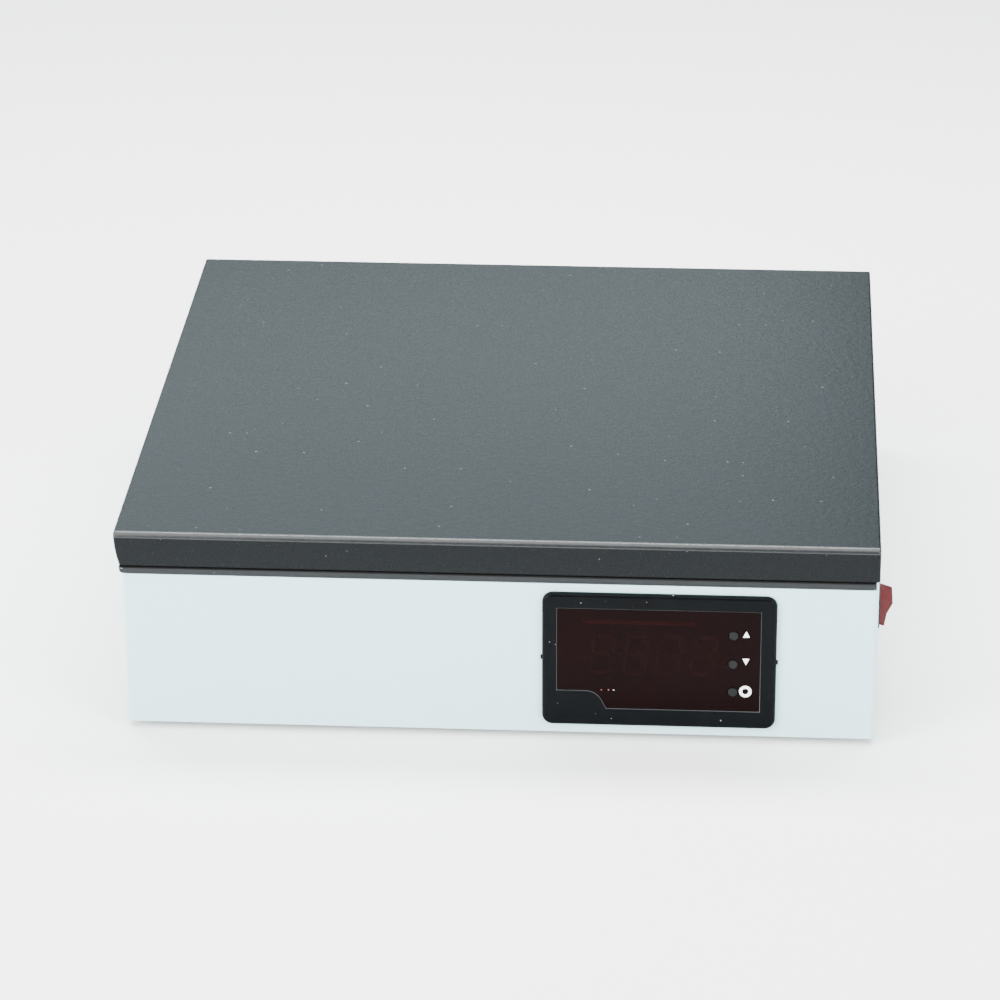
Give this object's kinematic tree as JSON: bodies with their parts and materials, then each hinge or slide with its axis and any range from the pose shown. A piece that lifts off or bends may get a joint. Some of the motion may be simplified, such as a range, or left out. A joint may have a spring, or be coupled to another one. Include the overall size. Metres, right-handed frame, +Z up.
{
  "type": "dry block heater",
  "caption": "Bench dry block heater with a low white metal base, a hinged dark grey lid over bored aluminium heating blocks, a display controller and a rocker switch.",
  "frame": {"origin": "under the middle of the whole object, on the bench that its feet stand on", "axes": "+X to the user's right, +Y towards the back with the lid hinges, +Z up"},
  "size_m": [0.3932, 0.3948, 0.1093],
  "materials": {
    "base_paint": "fine-textured white powder coat",
    "cover_paint": "powder coat",
    "lid_paint": "granular dark grey coat with fine bright specks",
    "seal": "matt silicone rubber",
    "feet_rubber": "matt rubber",
    "stainless": "brushed",
    "block_aluminium": "satin anodised",
    "insulation": "ceramic fibre board",
    "heater_silicone": "silicone mat",
    "bezel_plastic": "fine moulded grain",
    "black_plastic": "moulded",
    "window": "dark red filter",
    "display": "seven-segment face",
    "circuit_board": "solder mask",
    "button_plastic": "moulded",
    "rocker_red": "glossy",
    "terminal_plastic": "moulded",
    "relay_plastic": "moulded",
    "brass_contacts": "plated",
    "fuse_glass": "clear",
    "screws": "zinc plated",
    "hinge_steel": "satin",
    "lead_black": "insulated lead",
    "lead_brown": "insulated lead"
  },
  "bodies": {
    "base": {"back_wall_screws": "screws", "base_shell": "base_paint", "block_front_left": "block_aluminium", "block_front_right": "block_aluminium", "block_rear_left": "block_aluminium", "block_rear_right": "block_aluminium", "bottom_cover": "cover_paint", "bottom_screws": "screws", "button_switches": "black_plastic", "chamber_liner": "stainless", "contact_screws": "brass_contacts", "controller_bezel": "bezel_plastic", "controller_board": "circuit_board", "controller_clamps": "black_plastic", "controller_housing": "black_plastic", "controller_terminals": "terminal_plastic", "controller_window": "window", "deck_plate": "stainless", "deck_screws": "screws", "display_module": "display", "earth_stud": "brass_contacts", "feet": "feet_rubber", "floor_insulation": "insulation", "foot_nuts": "screws", "foot_screws": "screws", "fuse": "fuse_glass", "fuse_drawer": "black_plastic", "gasket": "seal", "heater_leads": "lead_brown", "heater_mat": "heater_silicone", "heater_plate": "block_aluminium", "hinge_base_leaves": "hinge_steel", "hinge_pins": "hinge_steel", "inlet_body": "black_plastic", "inlet_pins": "brass_contacts", "mains_leads": "lead_black", "plate_pillars": "screws", "probe_lead": "lead_black", "relay_plate": "block_aluminium", "side_insulation": "insulation", "solid_state_relay": "relay_plastic", "switch_bezel": "black_plastic", "switch_blades": "brass_contacts", "switch_housing": "black_plastic", "switched_lead": "lead_brown", "temperature_probe": "stainless", "terminal_strip": "terminal_plastic", "thermal_cutout": "black_plastic"},
    "lid": {"lid_shell": "lid_paint", "lid_insulation": "insulation", "lid_liner": "stainless", "liner_screws": "screws", "lid_spacers": "screws", "hinge_lid_leaves": "hinge_steel", "hinge_lid_screws": "screws"},
    "rocker": {"switch_rocker": "rocker_red"},
    "up_key": {"button_up": "button_plastic"},
    "down_key": {"button_down": "button_plastic"},
    "set_key": {"button_set": "button_plastic"}
  },
  "joints": [
    {"name": "lid_hinge", "type": "hinge", "parent": "base", "child": "lid", "pos_m": [-0.00252, 0.1942, 0.0912], "axis": [-1, 0, 0], "range_deg": [0, 100]},
    {"name": "rocker_tilt", "type": "hinge", "parent": "base", "child": "rocker", "pos_m": [0.18808, -0.1257, 0.048], "axis": [0, -1, 0], "range_deg": [0, 36]},
    {"name": "up_press", "type": "slide", "parent": "base", "child": "up_key", "axis": [0, 1, 0], "range_m": [0, 0.0006], "stiffness_N_per_m": 800, "springref_m": -0.0004},
    {"name": "down_press", "type": "slide", "parent": "base", "child": "down_key", "axis": [0, 1, 0], "range_m": [0, 0.0006], "stiffness_N_per_m": 800, "springref_m": -0.0004},
    {"name": "set_press", "type": "slide", "parent": "base", "child": "set_key", "axis": [0, 1, 0], "range_m": [0, 0.0006], "stiffness_N_per_m": 800, "springref_m": -0.0004}
  ]
}
